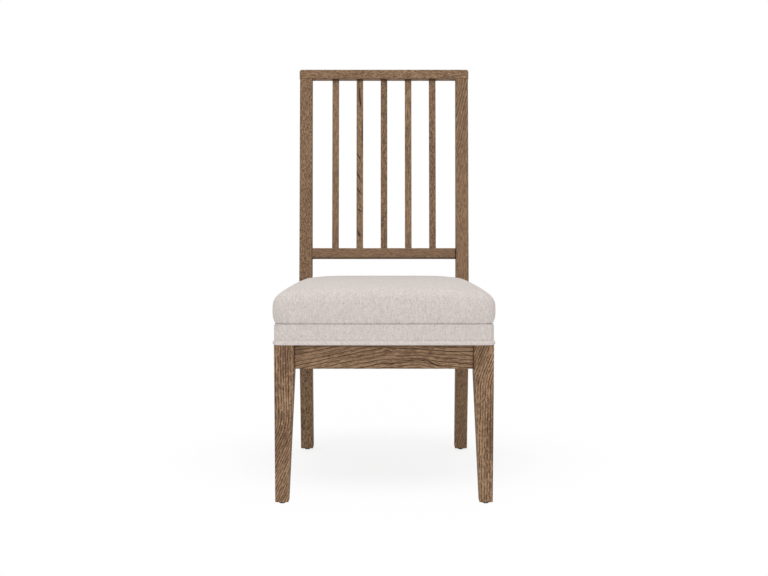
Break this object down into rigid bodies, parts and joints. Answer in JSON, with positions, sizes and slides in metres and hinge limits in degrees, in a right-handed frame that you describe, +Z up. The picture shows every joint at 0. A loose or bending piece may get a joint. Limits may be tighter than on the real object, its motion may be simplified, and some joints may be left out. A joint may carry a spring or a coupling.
{
  "type": "slat back side chair",
  "caption": "Armless slat back dining chair with a raked back, tapered front legs and a crowned upholstered seat with a welted band.",
  "frame": {"origin": "on the floor, under the middle of the chair's overall box", "axes": "+Z up, the sitter faces -Y, and +X is on the right of someone who looks at the chair's front"},
  "size_m": [0.4698, 0.5738, 0.9909],
  "materials": {
    "oak": "weathered brown, open grain, low sheen",
    "plain_hardwood": "planed, unfinished",
    "plywood": "sanded, unfinished",
    "linen": "plain weave, flecked",
    "foam": "open cell foam",
    "dust_cloth": "thin black cloth",
    "glide_plastic": "matt",
    "steel": "bright"
  },
  "bodies": {
    "root": {"back_post_left": "oak", "back_post_right": "oak", "back_slat_1": "oak", "back_slat_2": "oak", "back_slat_3": "oak", "back_slat_4": "oak", "back_slat_5": "oak", "corner_block_front_left": "plain_hardwood", "corner_block_front_right": "plain_hardwood", "corner_block_rear_left": "plain_hardwood", "corner_block_rear_right": "plain_hardwood", "corner_block_screws": "steel", "crest_dowels": "plain_hardwood", "crest_rail": "oak", "dust_cover": "dust_cloth", "dust_cover_staples": "steel", "front_apron": "oak", "front_apron_dowels": "plain_hardwood", "front_leg_left": "oak", "front_leg_right": "oak", "glide_nails": "steel", "leg_glide_front_left": "glide_plastic", "leg_glide_front_right": "glide_plastic", "leg_glide_rear_left": "glide_plastic", "leg_glide_rear_right": "glide_plastic", "lower_back_rail": "oak", "lower_rail_dowels": "plain_hardwood", "rear_apron": "oak", "rear_apron_dowels": "plain_hardwood", "seat_band": "linen", "seat_cover": "linen", "seat_deck": "plywood", "seat_foam": "foam", "seat_screws": "steel", "seat_welt": "linen", "seat_welt_rear": "linen", "side_apron_dowels": "plain_hardwood", "side_apron_left": "oak", "side_apron_right": "oak"}
  },
  "joints": []
}
